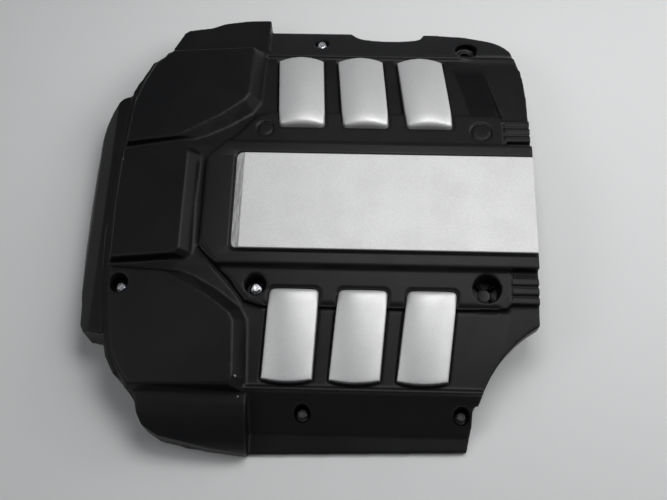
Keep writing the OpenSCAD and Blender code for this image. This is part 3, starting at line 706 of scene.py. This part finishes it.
def profileStep(radius, height, offsets):
    return [(radius + out, height + up) for out, up in offsets]


# Radius of the hexagon, whose corners are turned down to most times its flats
def hexRadius(turn, most):
    v = screwValues
    half = v["across"] / 2
    local = (turn + v["hexTurn"]) % (math.pi / 3) - math.pi / 6
    return min(half / math.cos(local), half * most)


def threadRadius(height, turn):
    v = screwValues
    phase = (height / v["pitch"] - turn / (2 * math.pi)) % 1.0
    return v["core"] + (v["shank"] - v["core"]) * max(0.0, 1 - abs(phase - 0.5) * v["threadSlope"])


# Hexagon flange screw: domed flange, chamfered hexagon with a dished top, cut thread on the free end
def screwPiece(label, place):
    v = screwValues
    x, y, floorHeight, reach = place
    bottom = -v["below"] - reach
    flangeTop = v["flangeLow"] + v["flangeThick"]
    top = flangeTop + v["headHigh"]
    half = v["across"] / 2
    profile = [(v["nearAxis"], bottom)] + profileStep(v["core"], bottom, v["tip"])
    threadLow = len(profile)
    turns = int((reach - v["threadSpare"]) / v["pitch"])
    for k in range(turns * v["threadSteps"] + 1):
        profile.append((v["core"], bottom + v["threadStart"] + k * v["pitch"] / v["threadSteps"]))
    threadHigh = len(profile)
    profile += [(v["neck"], bottom + reach), (v["neck"], v["flangeLow"])]
    profile += profileStep(v["flange"], v["flangeLow"], v["flangeRim"])
    profile += [(half + v["flangeFoot"], flangeTop)]
    hexLow = len(profile)
    profile += [(half, flangeTop), (half, flangeTop + v["flatLow"]), (half, top - v["flatHigh"])]
    hexHigh = len(profile)
    profile += profileStep(half, top, v["headTop"]) + [(v["nearAxis"], top - v["dish"])]

    def radiusAt(i, turn, r):
        if threadLow <= i < threadHigh:
            return threadRadius(profile[i][1], turn)
        if hexLow <= i < hexHigh:
            return hexRadius(turn, v["cornerMost"])
        if i == hexHigh:
            return hexRadius(turn, v["chamferMost"])
        return r

    points, faces = lathe(profile, (x, y, floorHeight), v["sides"], radiusAt)
    return markSharp(meshFrom(label, points, faces, mm), v["sharpAngle"])


# The skirt's screws get a darker, rougher copy of the steel, with painted shade for the shaded skirt they sit
# in, and the others are bright
paintedShadeSteel = steel("paintedShadeSteel")
for label, place in fixingPoints.items():
    replaced = "screws_long" if label in ("left", "shelf") else "screws_short"
    screw = settle("screw_" + label, screwPiece(label, place), "plated_steel", replaced)
    if label.startswith("skirt"):
        screw.data.materials[0] = paintedShadeSteel

# In mm; wall is the moulding's, which the neck goes through
grommetValues = {
    "inner": 4.7, "flange": 8.4, "neck": 6.75, "thick": 3.0, "wall": 3.0, "lipOut": 0.4, "lipIn": 0.3,
    "roll": 1.0, "rollSlack": 0.02, "rollSteps": 8, "sides": 56, "sharpAngle": 50,
}


# Half a turn round the edge of a flange, from its low face to its high one
def rolledEdge(middle):
    v = grommetValues
    edge = []
    for k in range(v["rollSteps"] + 1):
        angle = math.radians(-90 + 180 * k / v["rollSteps"])
        rise = (v["thick"] / 2 - v["rollSlack"]) * math.sin(angle)
        edge.append((v["flange"] - v["roll"] + v["roll"] * math.cos(angle), middle + rise))
    return edge


# Rubber grommet with rolled flanges
def grommetPiece(label, place):
    v = grommetValues
    x, y, floorHeight, _ = place
    inner, neck, thick, wall = v["inner"], v["neck"], v["thick"], v["wall"]
    profile = [(inner, -wall - thick + v["lipIn"]), (inner + v["lipOut"], -wall - thick)]
    profile += rolledEdge(-wall - thick / 2)
    profile += [(neck, -wall), (neck, 0)]
    profile += rolledEdge(thick / 2)
    profile += [(inner + v["lipOut"], thick), (inner, thick - v["lipIn"]), profile[0]]
    points, faces = lathe(profile, (x, y, floorHeight), v["sides"])
    return markSharp(meshFrom(label, points, faces, mm), v["sharpAngle"])


for label, place in fixingPoints.items():
    settle("rubber_" + label, grommetPiece(label, place), "rubber", "grommet_" + label)

# CAD pieces that stay get their finish
for row in frame["record"]["subparts"]:
    obj = frame["nodes"].get(row["node"])
    if obj is not None and row["node"].startswith(("sleeve_", "plate_nuts", "cap_nuts")):
        obj.data.materials.clear()
        obj.data.materials.append(finishes[row["material_slot"]])
print("fixings done")


# Floor, world, lamps and camera

# half is half the floor's side and drop its distance under the object, in metres
floorValues = {
    "pale": (0.93, 0.935, 0.935, 1), "dark": (0.89, 0.895, 0.895, 1), "bounce": (0.45, 0.45, 0.45, 1),
    "roughness": 0.8, "patchScale": 3.0, "half": 2.0, "drop": 0.0002,
}
worldValues = {"colour": (0.9, 0.93, 1.0, 1), "strength": 0.06, "seen": 0.2}
lampValues = {
    "softBoxTop": {"place": (0.2, 0.3, 1.05), "aim": (0.12, 0.05, 0.05), "size": (0.6, 0.5), "power": 4},
    "softBoxKey": {"place": (1.3, 0.15, 1.5), "aim": (0.0, 0.0, 0.05), "size": (1.4, 0.9), "power": 9},
    "softBoxLow": {"place": (1.4, 0.6, 0.85), "aim": (-0.1, 0.0, 0.07), "size": (1.0, 0.4), "power": 4.6},
    "softBoxLeft": {"place": (-1.5, -0.3, 1.6), "aim": (0.0, 0.0, 0.05), "size": (1.2, 0.9), "power": 5},
}


# Rays that show the pale background itself: straight from the camera, by a reflection or through glass
def seenMask(tree):
    path = addNode(tree, "ShaderNodeLightPath")
    shown = maths(tree, "MAXIMUM", path.outputs["Is Camera Ray"], path.outputs["Is Glossy Ray"])
    return maths(tree, "MAXIMUM", shown, path.outputs["Is Transmission Ray"])


def floorFinish():
    v = floorValues
    material, tree, shader = newFinish("paleFloor", Roughness=v["roughness"])
    soft = noise(tree, objectPlace(tree), v["patchScale"], Detail=3.0)
    tone = blendColour(tree, soft, v["dark"], v["pale"])
    tree.links.new(blendColour(tree, seenMask(tree), v["bounce"], tone), shader.inputs["Base Color"])
    return material


def addFloor():
    half = floorValues["half"]
    corners = [(-half, -half, 0), (half, -half, 0), (half, half, 0), (-half, half, 0)]
    mesh = meshFrom("floor", corners, [(0, 1, 2, 3)], smooth=False)
    mesh.materials.append(floorFinish())
    obj = bpy.data.objects.new("floor", mesh)
    obj.location.z = -floorValues["drop"]
    bpy.context.scene.collection.objects.link(obj)


def addWorld():
    v = worldValues
    world = bpy.data.worlds.new("studio")
    world.use_nodes = True
    tree = world.node_tree
    backdrop = tree.nodes["Background"]
    backdrop.inputs["Color"].default_value = v["colour"]
    share = addNode(tree, "ShaderNodeMapRange", Value=seenMask(tree), To_Min=v["strength"], To_Max=v["seen"])
    tree.links.new(share.outputs[0], backdrop.inputs["Strength"])
    bpy.context.scene.world = world


def addLamp(name, values):
    lamp = bpy.data.lights.new(name, "AREA")
    lamp.shape = "RECTANGLE"
    lamp.size, lamp.size_y = values["size"]
    lamp.energy = values["power"]
    obj = bpy.data.objects.new(name, lamp)
    obj.location = values["place"]
    aim = Vector(values["aim"]) - Vector(values["place"])
    obj.rotation_euler = aim.to_track_quat("-Z", "Y").to_euler()
    bpy.context.scene.collection.objects.link(obj)


# Camera fitted to points of the photo: angles in degrees, lens and sensor in mm, lengths in metres
cameraValues = {
    "elevation": 67.0, "yaw": 3.516, "roll": -2.089, "lens": 50.2, "sensor": 36.0, "distance": 1.125,
    "target": (0.03571, -0.06673, 0.085), "nearest": 0.01,
}


def addCamera():
    v = cameraValues
    tilt, yaw, roll = (math.radians(v[k]) for k in ("elevation", "yaw", "roll"))
    back = Vector((math.sin(yaw) * math.cos(tilt), -math.cos(yaw) * math.cos(tilt), math.sin(tilt)))
    across = Vector((0, 0, 1)).cross(back).normalized()
    upward = back.cross(across)
    right = math.cos(roll) * across + math.sin(roll) * upward
    up = -math.sin(roll) * across + math.cos(roll) * upward
    place = Vector(v["target"]) + back * v["distance"]
    data = bpy.data.cameras.new("camera")
    data.lens = v["lens"]
    data.sensor_width = v["sensor"]
    data.sensor_fit = "HORIZONTAL"
    data.clip_start = v["nearest"]
    obj = bpy.data.objects.new("camera", data)
    turn = Matrix((right, up, back)).transposed().to_4x4()
    obj.matrix_world = Matrix.Translation(place) @ turn
    bpy.context.scene.collection.objects.link(obj)
    bpy.context.scene.camera = obj


addFloor()
for name, values in lampValues.items():
    addLamp(name, values)
addWorld()
addCamera()
bpy.context.scene.view_settings.view_transform = "Standard"
print("stage and camera done")
